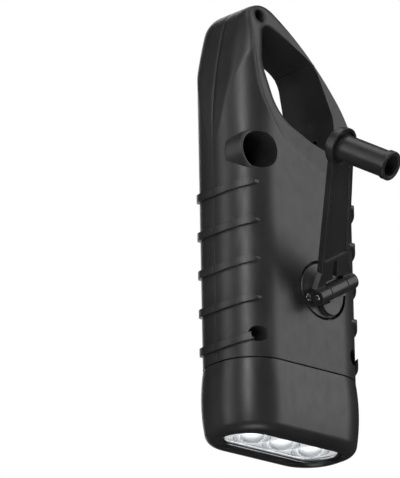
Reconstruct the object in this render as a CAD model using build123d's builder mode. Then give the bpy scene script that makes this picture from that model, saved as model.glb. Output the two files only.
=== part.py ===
from build123d import *

import os
from math import atan2, cos, pi, radians, sin, sqrt

os.makedirs("parts", exist_ok=True)

# ---------------------------------------------------------------------------
# Hand crank flashlight with a carabiner top.  Millimetres.
# The long axis stands along +Z on the lamp face, the solar side faces -Y and
# the crank side faces +Y.  The carabiner gate is on the -X side.
# ---------------------------------------------------------------------------

# Overall form
total_height = 136.6
half_width = 25.2
half_depth = 14.2
side_round = 12.9
side_relief = 0.02
crown_round = 8.3
shell_wall = 1.9
front_wall = 3.6
fit_gap = 0.15
seat_gap = 0.3
running_fit = 0.06

# Lamp head and the neck that the shells push into it
seam_height = 22.5
seam_gap = 0.35
head_swell = 0.7
swell_height = 12.0
face_inset = 0.6
face_round = 3.2
neck_depth = 4.0
neck_inset = 2.4
neck_wall = 1.6
floor_height = 24.0

# Lamp window and optics
window_length = 43.0
window_width = 15.6
window_lip = 0.7
lens_face = 0.8
lens_thickness = 1.4
optic_length = 40.4
optic_width = 14.0
head_floor = 6.0
flange_rim = 1.7
flange_thickness = 1.4
bowl_mouth = 11.4
bowl_root = 4.6
bowl_pitch = 11.7
bowl_height = 6.6
led_width = 3.6
led_tip = 4.6
led_base = 4.2
led_board_thickness = 1.2

# Carabiner
shoulder_height = 90.0
web_slope = 0.165
web_turn = 25.4
web_x = -4.4
web_z = 86.0
opening_draft = 2.0
pivot_inset = 5.4
pivot_z = 93.4
knuckle_radius = 8.2
knuckle_gap = 0.35
tongue_half = 3.4
tongue_top = 0.2
tongue_radius = 2.9
tongue_turn = -52.0
gate_pin_width = 2.6
gate_pin_half = 8.6
gate_wall = 1.2
joint_gap = 0.4
joint_x = -9.9
joint_drop = 14.9
joint_tilt = 15.0
spring_wire = 0.5
spring_turns = 2.25
spring_pitch = 0.95
spring_radius = 2.1
spring_leg = 1.9
hub_screw_width = 2.4
hub_screw_shift = 6.3

# Side ribs
rib_count = 5
rib_pitch = 12.1
rib_top = 77.2
rib_width = 2.3
rib_height = 0.9
rib_droop = 1.8
rib_reach = 11.6

# Solar bezel and panel
bezel_x = -1.6
bezel_low = 28.4
bezel_height = 51.2
bezel_width = 33.4
bezel_rise = 1.0
bezel_arch = 3.0
bezel_corner = 3.2
bezel_slope = 1.5
pocket_depth = 2.0
frame_left = 4.3
frame_right = 5.5
frame_low = 5.1
frame_top = 7.3
pane_edge = 0.8
panel_thickness = 1.1
panel_margin = 1.0

# Crank hub, arm and grip
hub_x = -5.5
hub_z = 47.5
hub_disc = 17.2
hub_well_gap = 0.6
hub_flange = 20.6
hub_flange_thickness = 0.9
hub_sink = 0.2
hub_shaft = 6.0
arm_turn = 30.0
arm_lift = 34.5
hinge_rise = 4.5
hinge_shift = -0.8
barrel_width = 7.6
barrel_diameter = 5.0
hinge_pin_width = 2.0
tab_rise = 1.4
arm_length = 46.6
arm_thickness = 2.0
arm_drop = 2.2
arm_root_half = 6.4
arm_tip_half = 4.8
arm_recess = 0.5
arm_rim = 1.0
ear_half = 8.5
ear_gap = 0.25
notch_height = 3.6
slot_width = 2.2
slot_height = 9.4
eye_diameter = 12.0
bush_diameter = 10.0
bush_flange = 11.2
bush_flange_thickness = 0.6
grip_diameter = 8.2
grip_wall = 0.9
grip_reach = 17.8
collar_diameter = 9.0
collar_length = 1.8
lip_length = 0.9

# Stowing hole
stow_diameter = 11.6
stow_wall = 0.8
stow_face = 11.6
stow_foot = 5.5
stow_spread = 1.0
stow_floor = 0.6
stow_offset = 0.5

# Gear train and generator
gear_module = 0.6
crank_teeth = 34
pinion_teeth = 10
wheel_teeth = 30
mesh_gap = 0.12
gear_width = 2.3
level_gap = 0.4
idler_turn = 35.0
rotor_turn = 110.0
plate_thickness = 1.5
plate_x = 1.0
plate_z = 58.4
plate_width = 31.0
plate_height = 35.0
pillar_width = 3.6
axle_width = 1.6
rotor_diameter = 13.0
rotor_width = 3.6
stator_diameter = 22.0
stator_gap = 0.5

# Battery, board, switch and screws
board_thickness = 1.2
cell_diameter = 14.8
cell_length = 5.3
cell_count = 3
battery_y = -2.6
battery_z = 32.0
screw_head = 4.0
screw_head_height = 1.5
screw_shank = 2.2
screw_hole = 5.0
screw_seat = 5.0
screw_inset = 6.1
screw_z = 29.6
crown_screw_drop = 3.9
post_width = 7.4
crown_hole = 4.2
crown_seat = 2.4
button_z = 79.2
button_height = 6.4
button_width = 5.2
button_rise = 0.7
button_rim = 0.9
button_rim_thickness = 0.8
button_travel = 0.9
switch_size = 6.0
switch_depth = 5.6
plunger_width = 2.2

# Values that follow from the sizes above
turn = radians(arm_turn)
lift = radians(arm_lift)
fold_along = Vector(sin(turn), 0, cos(turn))
fold_across = Vector(cos(turn), 0, -sin(turn))
arm_normal = Vector(0, 1, 0) * cos(lift) - fold_along * sin(lift)
hinge_point = Vector(hub_x, half_depth + hinge_rise, hub_z) + fold_along * hinge_shift
arm_plane = Plane(origin=hinge_point, x_dir=fold_across * -1, z_dir=arm_normal)
disc_face = half_depth - hub_sink
disc_plane = Plane(origin=(hub_x, disc_face, hub_z), x_dir=fold_across * -1, z_dir=(0, 1, 0))
stow_reach = arm_length + hinge_shift + stow_offset
stow_x = hub_x + stow_reach * sin(turn)
stow_z = hub_z + stow_reach * cos(turn)

inner_back = half_depth - shell_wall
inner_front = front_wall - half_depth
inner_side = half_width - shell_wall
cavity_top = stow_z - stow_diameter / 2 - 3.2
cavity_round = side_round - shell_wall - 1.7

crank_radius = gear_module * crank_teeth / 2
pinion_radius = gear_module * pinion_teeth / 2
wheel_radius = gear_module * wheel_teeth / 2
idler_reach = crank_radius + pinion_radius + mesh_gap
rotor_reach = wheel_radius + pinion_radius + mesh_gap
idler_x = hub_x + idler_reach * cos(radians(idler_turn))
idler_z = hub_z + idler_reach * sin(radians(idler_turn))
rotor_x = idler_x + rotor_reach * cos(radians(rotor_turn))
rotor_z = idler_z + rotor_reach * sin(radians(rotor_turn))
flange_face = inner_back - seat_gap - hub_flange_thickness
outer_plate_y = flange_face - level_gap - plate_thickness
crank_gear_y = outer_plate_y - level_gap - gear_width
wheel_y = crank_gear_y - level_gap - gear_width
inner_plate_y = wheel_y - level_gap - plate_thickness
rotor_y = inner_plate_y - level_gap - rotor_width

pivot_x = pivot_inset - half_width
joint_z = total_height - joint_drop
screw_spots = [(half_width - screw_inset, screw_z), (screw_inset - half_width, screw_z)]
crown_spot = (12.4, total_height - crown_screw_drop)
pillar_spots = [(-12.0, 73.4), (13.8, 73.4), (13.8, 43.4)]
pane_width = bezel_width - frame_left - frame_right
pane_height = bezel_height - frame_low - frame_top
pane_x = bezel_x + (frame_left - frame_right) / 2
pane_low = bezel_low + frame_low
pane_centre_z = pane_low + pane_height / 2
neck_round = side_round - neck_inset
button_face = half_width + button_rise
switch_face = inner_side - seat_gap - button_rim_thickness - button_travel - seat_gap


def axis_y(x, z, y):
    """Sketch plane facing +Y at a height y, centred on the point x, z."""
    return Plane(origin=(x, y, z), x_dir=(-1, 0, 0), z_dir=(0, 1, 0))


def disc(x, z, low, high, diameter):
    """Round bar along Y from low to high."""
    with BuildPart() as bar:
        with BuildSketch(axis_y(x, z, low)):
            Circle(diameter / 2)
        extrude(amount=high - low)
    return bar.part


def web_plane():
    """Sloping plane of the back web face; its local Y climbs towards the crown."""
    along = Vector(cos(radians(web_turn)), 0, sin(radians(web_turn)))
    climb = Vector(-sin(radians(web_turn)), -web_slope, cos(radians(web_turn)))
    return Plane(
        origin=(web_x, half_depth, web_z),
        x_dir=along * -1,
        z_dir=(along * -1).cross(climb),
    )


def web_local(x, z):
    """Place of a point of the outline on the sloping web plane."""
    along = (x - web_x) * cos(radians(web_turn)) + (z - web_z) * sin(radians(web_turn))
    climb = (z - web_z) * cos(radians(web_turn)) - (x - web_x) * sin(radians(web_turn))
    return (-along, climb * sqrt(1 + web_slope**2))


# ---------------------------------------------------------------------------
# Housing: one rounded body, pared down to the web of the carabiner
# ---------------------------------------------------------------------------


def body_blank():
    """Solid body: rounded all round the hook, with fuller sides on the handle."""
    side = half_width + side_relief
    knots = [
        (half_width - 5.8, total_height - 6.2),
        (6.6, total_height - 1.3),
        (joint_x, joint_z),
        (6.9 - half_width, joint_z - 10.4),
    ]
    with BuildPart() as blank:
        with BuildSketch(Plane.XZ.offset(-half_depth)):
            with BuildLine():
                start = Line((side, seam_height - 20), (side, shoulder_height))
                last = start
                for knot in knots:
                    last = TangentArc(last @ 1, knot, tangent=last % 1)
                lean = atan2(abs((last % 1).X), abs((last % 1).Y))
                radius = ((last @ 1).X + side) / (1 - cos(lean))
                foot = (-side, (last @ 1).Y - radius * sin(lean))
                last = TangentArc(last @ 1, foot, tangent=last % 1)
                left = Line(last @ 1, (-side, seam_height - 20))
                Line(left @ 1, start @ 0)
            make_face()
        extrude(amount=2 * half_depth)
        faces = blank.faces().sort_by(Axis.Y)
        rims = faces[0].edges() + faces[-1].edges()
        fillet(rims.filter_by(lambda edge: edge.center().Z > seam_height - 19), crown_round)
        with BuildSketch(Plane.XY.offset(seam_height)):
            RectangleRounded(2 * half_width, 2 * half_depth, side_round)
        extrude(amount=total_height, mode=Mode.INTERSECT)
    return blank.part


def web_cut():
    """Wedge that pares the hook down to the two sloping web faces."""
    rim = [(-34.0, 71.2), (8.0, 91.2), (16.9, 106.0), (17.6, 152.0)]
    with BuildPart() as cut:
        with BuildSketch(web_plane()):
            with BuildLine():
                edge = FilletPolyline([web_local(x, z) for x, z in rim], radius=[16, 30])
                Polyline(edge @ 1, web_local(-34.0, 152.0), edge @ 0)
            make_face()
        extrude(amount=12, taper=-42)
        mirror(about=Plane.XZ)
    return cut.part


def hook_opening():
    """Finger opening of the carabiner, widening from the parting line outward."""
    right, left = half_width, -half_width
    corners = [
        (right - 13.6, total_height - 5.6),
        (right - 11.2, (total_height + 96.4) / 2),
        (right - 15.6, 100.2),
        (-3.6, 94.6),
        (left + 11.6, 92.2),
        (left + 10.9, (joint_z + 89.4) / 2),
        (joint_x + 0.5, joint_z - 0.4),
        (1.0, total_height - 9.8),
    ]
    with BuildPart() as opening:
        with BuildSketch(Plane.XZ):
            with BuildLine():
                FilletPolyline(corners, radius=[3.0, 12, 14, 20, 3.0, 8, 9, 12], close=True)
            make_face()
        extrude(amount=half_depth + 4, taper=-opening_draft)
        mirror(about=Plane.XZ)
    return opening.part


def gate_zone(grow, low=-half_depth - 4, high=half_depth + 4):
    """Region of the hook that swings with the gate, grown by a gap."""
    tilt = radians(joint_tilt)
    lift_x = joint_x + 30 * cos(tilt)
    lift_z = joint_z - 30 * sin(tilt)
    drop_x = joint_x - 30 * cos(tilt)
    drop_z = joint_z + 30 * sin(tilt)
    edge = pivot_x + knuckle_radius + grow
    with BuildPart() as zone:
        with BuildSketch(Plane.XZ.offset(-high)):
            with BuildLine():
                Polyline(
                    (joint_x + 4.6, joint_z + (lift_z - joint_z) * 4.6 / (lift_x - joint_x) + grow),
                    (drop_x, drop_z + grow),
                    (drop_x, pivot_z),
                    (edge, pivot_z),
                    (edge + 0.8, pivot_z + 7),
                    (edge + 5.0, pivot_z + 0.7 * (joint_z - pivot_z)),
                    close=True,
                )
            make_face()
            with Locations((pivot_x, pivot_z)):
                Circle(knuckle_radius + grow)
        extrude(amount=high - low)
    return zone.part


def side_ribs():
    """Ribs that wrap both sides of the handle and droop at the middle."""
    bend = (rib_reach**2 + rib_droop**2) / (2 * rib_droop)
    with BuildPart() as ribs:
        for row in range(rib_count):
            height = rib_top - row * rib_pitch
            with BuildSketch(Plane.YZ):
                with Locations((0, height - rib_droop + bend)):
                    Circle(bend + rib_width / 2)
                    Circle(bend - rib_width / 2, mode=Mode.SUBTRACT)
                with Locations((0, height - rib_droop / 2)):
                    Rectangle(2 * rib_reach, rib_droop + 2 * rib_width, mode=Mode.INTERSECT)
                with Locations((-rib_reach, height), (rib_reach, height)):
                    Circle(rib_width / 2)
            extrude(amount=half_width + 4)
        with BuildSketch(Plane.XY.offset(seam_height)):
            RectangleRounded(
                2 * (half_width + rib_height),
                2 * (half_depth + rib_height),
                side_round + rib_height,
            )
            with Locations((half_width, 0)):
                Rectangle(16, 2 * half_depth + 4, mode=Mode.INTERSECT)
        extrude(amount=total_height, mode=Mode.INTERSECT)
        mirror(about=Plane.YZ)
    return ribs.part


def body_cavity():
    """Room for the gears and the battery, with the switch pocket and the neck."""
    with BuildPart() as cavity:
        with BuildSketch(Plane.XY.offset(floor_height)):
            with Locations((0, (inner_back + inner_front) / 2)):
                RectangleRounded(2 * inner_side, inner_back - inner_front, cavity_round)
        extrude(amount=cavity_top - floor_height)
        fillet(cavity.faces().sort_by(Axis.Z)[-1].edges(), 2.5)
        with BuildSketch(Plane.XY.offset(seam_height - neck_depth - 1)):
            RectangleRounded(
                2 * (half_width - neck_inset - neck_wall),
                2 * (half_depth - neck_inset - neck_wall),
                neck_round - neck_wall,
            )
        extrude(amount=floor_height - seam_height + neck_depth + 2)
        pocket_back = switch_face - switch_depth
        with BuildSketch(Plane.YZ.offset(-inner_side)):
            with Locations((0, button_z)):
                RectangleRounded(button_width + 4.2, button_height + 2.6, 1.2)
        extrude(amount=inner_side - pocket_back + fit_gap)
        with BuildSketch(Plane.YZ.offset(-half_width - 5)):
            with Locations((0, button_z)):
                RectangleRounded(button_width + 2 * fit_gap, button_height + 2 * fit_gap, 1.7)
        extrude(amount=7)
    return cavity.part


def stow_boss():
    """Tapered boss round the hole that takes the folded crank grip."""
    with BuildPart() as boss:
        with BuildSketch(axis_y(stow_x, stow_z, stow_foot)):
            Circle(stow_diameter / 2 + stow_wall + stow_spread)
        with BuildSketch(axis_y(stow_x, stow_z, stow_face)):
            Circle(stow_diameter / 2 + stow_wall)
        loft()
        fillet(boss.faces().sort_by(Axis.Y)[-1].edges(), stow_wall * 0.8)
        with BuildSketch(Plane.XY.offset(seam_height)):
            Rectangle(2 * half_width, 2 * half_depth)
        extrude(amount=total_height, mode=Mode.INTERSECT)
    return boss.part


def screw_posts():
    """Posts that carry the case screws, trimmed to the rounded sides."""
    with BuildPart() as posts:
        for x, z in screw_spots:
            add(disc(x, z, -half_depth, half_depth, post_width))
        with BuildSketch(Plane.XY.offset(seam_height)):
            RectangleRounded(2 * half_width, 2 * half_depth, side_round)
        extrude(amount=total_height - seam_height, mode=Mode.INTERSECT)
    return posts.part


def bezel_outline(grow, thickness, start):
    """Arched outline of the bezel, thickened towards the front."""
    left = bezel_x - bezel_width / 2 - grow
    right = bezel_x + bezel_width / 2 + grow
    low = bezel_low - grow
    high = bezel_low + bezel_height - bezel_arch + grow
    with BuildPart() as block:
        with BuildSketch(Plane.XZ.offset(start)) as outline:
            with BuildLine():
                Polyline((left, high), (left, low), (right, low), (right, high))
                ThreePointArc((right, high), (bezel_x, high + bezel_arch), (left, high))
            make_face()
            fillet(outline.vertices(), bezel_corner + grow)
        extrude(amount=thickness)
    return block.part


with BuildPart() as housing:
    add(body_blank())
    add(web_cut(), mode=Mode.SUBTRACT)
    add(hook_opening(), mode=Mode.SUBTRACT)

hook = housing.part

stem = Vector(cos(radians(tongue_turn)), sin(radians(tongue_turn)))
with BuildPart() as tongue:
    with BuildSketch(Plane.XZ.offset(-tongue_top)):
        with Locations((pivot_x, pivot_z)):
            Circle(tongue_radius)
        with Locations(Location((pivot_x + stem.X * 5.5, pivot_z + stem.Y * 5.5), tongue_turn)):
            Rectangle(11, 2 * tongue_radius)
    extrude(amount=tongue_half + tongue_top)
    add(hook, mode=Mode.INTERSECT)

with BuildPart() as housing:
    add(hook)
    add(gate_zone(knuckle_gap), mode=Mode.SUBTRACT)
    add(tongue.part)
    add(side_ribs())
    add(stow_boss())
    add(body_cavity(), mode=Mode.SUBTRACT)
    add(screw_posts())
    with BuildSketch(Plane.XY.offset(seam_height - neck_depth)):
        RectangleRounded(
            2 * (half_width - neck_inset),
            2 * (half_depth - neck_inset),
            neck_round,
        )
        RectangleRounded(
            2 * (half_width - neck_inset - neck_wall),
            2 * (half_depth - neck_inset - neck_wall),
            neck_round - neck_wall,
            mode=Mode.SUBTRACT,
        )
    extrude(amount=neck_depth)
    with BuildSketch(axis_y(stow_x, stow_z, stow_floor)):
        Circle(stow_diameter / 2)
    extrude(amount=half_depth, mode=Mode.SUBTRACT)
    for x, z in screw_spots:
        add(disc(x, z, screw_seat, half_depth + 2, screw_hole), mode=Mode.SUBTRACT)
        add(disc(x, z, -6.5, half_depth, screw_shank + 0.1), mode=Mode.SUBTRACT)
    x, z = crown_spot
    add(disc(x, z, crown_seat, half_depth + 2, crown_hole), mode=Mode.SUBTRACT)
    add(disc(x, z, -6.0, half_depth, screw_shank + 0.1), mode=Mode.SUBTRACT)
    add(disc(hub_x, hub_z, 0, half_depth + 2, hub_disc + 2 * hub_well_gap), mode=Mode.SUBTRACT)
    add(disc(pivot_x, pivot_z, -20, 20, gate_pin_width + 0.02), mode=Mode.SUBTRACT)
    add(
        bezel_outline(fit_gap, 6, half_depth - pocket_depth),
        mode=Mode.SUBTRACT,
    )

shells = housing.part

with BuildPart() as front_shell:
    add(shells)
    split(bisect_by=Plane.XZ, keep=Keep.TOP)
front_shell.part.label = "front_shell"
export_step(front_shell.part, "parts/front_shell.step")

with BuildPart() as back_shell:
    add(shells)
    split(bisect_by=Plane.XZ, keep=Keep.BOTTOM)
    for x, z in pillar_spots:
        with BuildSketch(axis_y(x, z, outer_plate_y + plate_thickness)):
            Circle(pillar_width / 2 + 0.6)
        extrude(amount=inner_back - outer_plate_y - plate_thickness + 0.3)
back_shell.part.label = "back_shell"
export_step(back_shell.part, "parts/back_shell.step")

with BuildPart() as carabiner_gate:
    add(hook)
    add(gate_zone(0), mode=Mode.INTERSECT)
    with BuildSketch(Plane.XZ.offset(-tongue_half - 0.25)):
        with Locations((pivot_x, pivot_z)):
            Circle(knuckle_radius + knuckle_gap)
        with Locations((pivot_x - tongue_radius - seat_gap, pivot_z)):
            Rectangle(40, 40, align=(Align.MIN, Align.CENTER), mode=Mode.INTERSECT)
    extrude(amount=2 * tongue_half + 0.5, mode=Mode.SUBTRACT)
    add(disc(pivot_x, pivot_z, -20, 20, gate_pin_width + 2 * running_fit), mode=Mode.SUBTRACT)
carabiner_gate.part.label = "carabiner_gate"
export_step(carabiner_gate.part, "parts/carabiner_gate.step")

with BuildPart() as gate_pin:
    add(disc(pivot_x, pivot_z, -gate_pin_half, gate_pin_half, gate_pin_width))
    chamfer(gate_pin.edges().filter_by(GeomType.CIRCLE), 0.25)
gate_pin.part.label = "gate_pin"
export_step(gate_pin.part, "parts/gate_pin.step")

with BuildPart() as gate_spring:
    coil_start = tongue_top + seat_gap + spring_wire / 2
    with BuildLine() as coil:
        turns = Helix(
            spring_pitch,
            spring_pitch * spring_turns,
            spring_radius,
            center=(pivot_x, coil_start, pivot_z),
            direction=(0, 1, 0),
        )
        Line(turns @ 0 - (turns % 0) * spring_leg, turns @ 0)
        Line(turns @ 1, turns @ 1 + (turns % 1) * spring_leg)
    tail = coil.line @ 0
    with BuildSketch(Plane(origin=tail, z_dir=coil.line % 0)):
        Circle(spring_wire / 2)
    sweep(path=coil.line)
gate_spring.part.label = "gate_spring"
export_step(gate_spring.part, "parts/gate_spring.step")
print("gate spring gap to itself", round(spring_pitch - spring_wire, 2))

# ---------------------------------------------------------------------------
# Lamp head, lens, reflector and lamps
# ---------------------------------------------------------------------------

head_top = seam_height - seam_gap

with BuildPart() as lamp_head:
    with BuildSketch(Plane.XY.offset(head_top)):
        RectangleRounded(2 * half_width, 2 * half_depth, side_round)
    with BuildSketch(Plane.XY.offset(swell_height)):
        RectangleRounded(
            2 * (half_width + head_swell),
            2 * (half_depth + head_swell),
            side_round + head_swell,
        )
    with BuildSketch(Plane.XY):
        RectangleRounded(
            2 * (half_width - face_inset),
            2 * (half_depth - face_inset),
            side_round - face_inset,
        )
    loft()
    fillet(lamp_head.faces().sort_by(Axis.Z)[0].edges(), face_round)
    with BuildSketch(Plane.XY):
        SlotOverall(window_length, window_width)
    extrude(amount=lens_face + lens_thickness, mode=Mode.SUBTRACT)
    chamfer(
        lamp_head.edges().group_by(Axis.Z)[0].filter_by(
            lambda edge: abs(edge.center().Y) < window_width / 2 + 0.1
            and abs(edge.center().X) < window_length / 2
        ),
        window_lip,
    )
    with BuildSketch(Plane.XY.offset(lens_face)):
        SlotOverall(optic_length + 2 * fit_gap, optic_width + 2 * fit_gap)
    extrude(amount=head_floor, mode=Mode.SUBTRACT)
    with BuildSketch(Plane.XY.offset(head_floor)):
        RectangleRounded(
            2 * (half_width - neck_inset + fit_gap),
            2 * (half_depth - neck_inset + fit_gap),
            neck_round + fit_gap,
        )
    extrude(amount=seam_height, mode=Mode.SUBTRACT)
lamp_head.part.label = "lamp_head"
export_step(lamp_head.part, "parts/lamp_head.step")

with BuildPart() as lens:
    with BuildSketch(Plane.XY.offset(lens_face)):
        SlotOverall(window_length - 2 * fit_gap, window_width - 2 * fit_gap)
    extrude(amount=lens_thickness)
    chamfer(lens.faces().sort_by(Axis.Z)[0].edges(), 0.3)
lens.part.label = "lens"
export_step(lens.part, "parts/lens.step")

optic_face = lens_face + lens_thickness + fit_gap
bowl_spots = [(-bowl_pitch, 0), (0, 0), (bowl_pitch, 0)]
boss_top = optic_face + bowl_height

with BuildPart() as reflector:
    with BuildSketch(Plane.XY.offset(optic_face)):
        SlotOverall(optic_length, optic_width)
    extrude(amount=head_floor + fit_gap + flange_thickness - optic_face)
    with BuildSketch(Plane.XY.offset(head_floor + fit_gap)):
        SlotOverall(optic_length + 2 * flange_rim, optic_width + 2 * flange_rim)
    extrude(amount=flange_thickness)
    with BuildSketch(Plane.XY.offset(optic_face + 1)):
        with Locations(*bowl_spots):
            Circle(bowl_root / 2 + 1.4)
    extrude(amount=bowl_height - 1)
    for x, _ in bowl_spots:
        with BuildSketch(Plane(origin=(x, 0, optic_face), x_dir=(1, 0, 0), z_dir=(0, -1, 0))):
            with BuildLine():
                Line((0, 0), (bowl_mouth / 2, 0))
                Bezier(
                    (bowl_mouth / 2, 0),
                    (bowl_mouth / 2 - 0.5, bowl_height * 0.55),
                    (bowl_root / 2 + 0.6, bowl_height * 0.8),
                    (bowl_root / 2, bowl_height),
                )
                Line((bowl_root / 2, bowl_height), (0, bowl_height))
                Line((0, bowl_height), (0, 0))
            make_face()
        revolve(axis=Axis((x, 0, 0), (0, 0, 1)), mode=Mode.SUBTRACT)
reflector.part.label = "reflector"
export_step(reflector.part, "parts/reflector.step")

for name, x in (("led_left", -bowl_pitch), ("led_centre", 0), ("led_right", bowl_pitch)):
    with BuildPart() as lamp:
        with BuildSketch(Plane(origin=(x, 0, 0), x_dir=(1, 0, 0), z_dir=(0, -1, 0))):
            with BuildLine():
                tip = led_tip
                dome = led_width / 2
                Line((0, boss_top), (led_base / 2, boss_top))
                Line((led_base / 2, boss_top), (led_base / 2, boss_top - 0.8))
                Line((led_base / 2, boss_top - 0.8), (dome, boss_top - 0.8))
                Line((dome, boss_top - 0.8), (dome, tip + dome))
                RadiusArc((dome, tip + dome), (0, tip), dome)
                Line((0, tip), (0, boss_top))
            make_face()
        revolve(axis=Axis((x, 0, 0), (0, 0, 1)))
    lamp.part.label = name
    export_step(lamp.part, "parts/" + name + ".step")

with BuildPart() as led_board:
    with BuildSketch(Plane.XY.offset(boss_top + 0.05)):
        SlotOverall(optic_length, optic_width)
    extrude(amount=led_board_thickness)
led_board.part.label = "led_board"
export_step(led_board.part, "parts/led_board.step")

# ---------------------------------------------------------------------------
# Solar bezel and panel
# ---------------------------------------------------------------------------

pocket_floor = half_depth - pocket_depth
panel_back = pocket_floor + 0.05

with BuildPart() as solar_bezel:
    add(bezel_outline(0, pocket_depth + bezel_rise - 0.05, panel_back))
    chamfer(solar_bezel.faces().sort_by(Axis.Y)[0].edges(), bezel_slope * 0.6, bezel_slope)
    with BuildSketch(Plane.XZ.offset(panel_back)):
        with Locations((pane_x, pane_centre_z)):
            RectangleRounded(pane_width, pane_height, 1.2)
    extrude(amount=pocket_depth + bezel_rise, mode=Mode.SUBTRACT)
    chamfer(
        solar_bezel.faces().sort_by(Axis.Y)[0].inner_wires()[0].edges(),
        pane_edge,
    )
    with BuildSketch(Plane.XZ.offset(panel_back)):
        with Locations((pane_x, pane_centre_z)):
            Rectangle(
                pane_width + 2 * panel_margin + 2 * fit_gap,
                pane_height + 2 * panel_margin + 2 * fit_gap,
            )
    extrude(amount=panel_thickness + 0.05, mode=Mode.SUBTRACT)
solar_bezel.part.label = "solar_bezel"
export_step(solar_bezel.part, "parts/solar_bezel.step")

with BuildPart() as solar_panel:
    with BuildSketch(Plane.XZ.offset(panel_back)):
        with Locations((pane_x, pane_centre_z)):
            Rectangle(pane_width + 2 * panel_margin, pane_height + 2 * panel_margin)
    extrude(amount=panel_thickness)
solar_panel.part.label = "solar_panel"
export_step(solar_panel.part, "parts/solar_panel.step")

# ---------------------------------------------------------------------------
# Crank: hub, folding arm and sliding grip
# ---------------------------------------------------------------------------

with BuildPart() as crank_hub:
    add(disc(hub_x, hub_z, flange_face, flange_face + hub_flange_thickness, hub_flange))
    add(disc(hub_x, hub_z, flange_face, disc_face, hub_disc))
    chamfer(crank_hub.edges().filter_by(GeomType.CIRCLE).sort_by(Axis.Y)[-1], 0.3)
    add(disc(hub_x, hub_z, inner_plate_y - level_gap, flange_face + 0.1, hub_shaft))
    with BuildSketch(disc_plane.offset(-0.2)):
        with Locations((0, hinge_shift)):
            Rectangle(barrel_width, 2 * barrel_diameter * 0.62)
    extrude(amount=hinge_rise + hub_sink + 0.2)
    with BuildSketch(disc_plane.offset(-0.2)):
        with Locations((0, -hub_disc / 2 + barrel_width / 2 + 0.5)):
            Circle(barrel_width / 2)
        with Locations((0, -hub_disc / 4 + 1.5)):
            Rectangle(barrel_width, hub_disc / 2 - barrel_width / 2 - 1)
    extrude(amount=tab_rise + 0.2)
    with BuildSketch(Plane(origin=hinge_point - fold_across * (barrel_width / 2), z_dir=fold_across)):
        Circle(barrel_diameter / 2)
    extrude(amount=barrel_width)
    with BuildSketch(Plane(origin=hinge_point - fold_across * barrel_width, z_dir=fold_across)):
        Circle(hinge_pin_width / 2 + 0.01)
    extrude(amount=2 * barrel_width, mode=Mode.SUBTRACT)
    for side in (-1, 1):
        with BuildSketch(disc_plane.offset(-1.25)):
            with Locations((side * hub_screw_shift, 0)):
                Circle(hub_screw_width / 2 + 0.01)
        extrude(amount=2, mode=Mode.SUBTRACT)
crank_hub.part.label = "crank_hub"
export_step(crank_hub.part, "parts/crank_hub.step")

with BuildPart() as hub_screws:
    for side in (-1, 1):
        with BuildSketch(disc_plane.offset(-1.2)):
            with Locations((side * hub_screw_shift, 0)):
                Circle(hub_screw_width / 2)
        extrude(amount=1.6)
    chamfer(hub_screws.faces().group_by(Axis.Y)[-1].edges(), 0.3)
hub_screws.part.label = "hub_screws"
export_step(hub_screws.part, "parts/hub_screws.step")

with BuildPart() as hinge_pin:
    with BuildSketch(Plane(origin=hinge_point - fold_across * ear_half, z_dir=fold_across)):
        Circle(hinge_pin_width / 2)
    extrude(amount=2 * ear_half)
    chamfer(hinge_pin.edges().filter_by(GeomType.CIRCLE), 0.2)
hinge_pin.part.label = "hinge_pin"
export_step(hinge_pin.part, "parts/hinge_pin.step")

with BuildPart() as crank_arm:
    with BuildSketch(arm_plane.offset(-arm_drop)):
        with BuildLine():
            Polyline(
                (-ear_half, 0),
                (-ear_half, 2.4),
                (-arm_root_half, 7.2),
                (-arm_tip_half, arm_length),
                (arm_tip_half, arm_length),
                (arm_root_half, 7.2),
                (ear_half, 2.4),
                (ear_half, 0),
                close=True,
            )
        make_face()
        with Locations((0, arm_length)):
            Circle(eye_diameter / 2)
    extrude(amount=arm_thickness)
    with BuildSketch(arm_plane.offset(-arm_drop + arm_thickness)):
        with BuildLine():
            Polyline(
                (-arm_root_half + arm_rim, slot_height + 1.2),
                (-arm_tip_half + arm_rim, arm_length - eye_diameter / 2 - 0.6),
                (arm_tip_half - arm_rim, arm_length - eye_diameter / 2 - 0.6),
                (arm_root_half - arm_rim, slot_height + 1.2),
                close=True,
            )
        make_face()
    extrude(amount=-arm_recess, mode=Mode.SUBTRACT)
    with BuildSketch(Plane(origin=hinge_point - fold_across * ear_half, z_dir=fold_across)):
        Circle(barrel_diameter / 2)
    extrude(amount=2 * ear_half)
    with BuildSketch(arm_plane.offset(-barrel_diameter)):
        with Locations((0, notch_height / 2 - barrel_diameter / 2)):
            Rectangle(barrel_width + 2 * ear_gap, notch_height + barrel_diameter)
        with Locations((0, slot_height / 2)):
            Rectangle(slot_width, slot_height)
    extrude(amount=2 * barrel_diameter, mode=Mode.SUBTRACT)
    with BuildSketch(Plane(origin=hinge_point - fold_across * 20, z_dir=fold_across)):
        Circle(hinge_pin_width / 2 + running_fit)
    extrude(amount=40, mode=Mode.SUBTRACT)
    with BuildSketch(arm_plane.offset(-arm_drop - 1)):
        with Locations((0, arm_length)):
            Circle(bush_diameter / 2 + running_fit)
    extrude(amount=arm_thickness + 2, mode=Mode.SUBTRACT)
crank_arm.part.label = "crank_arm"
export_step(crank_arm.part, "parts/crank_arm.step")

arm_back = -arm_drop
arm_front = arm_thickness - arm_drop
bush_low = arm_back - running_fit - bush_flange_thickness
eye_plane = Plane(
    origin=hinge_point + arm_plane.y_dir * arm_length,
    x_dir=arm_plane.x_dir,
    z_dir=arm_plane.z_dir,
)

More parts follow.
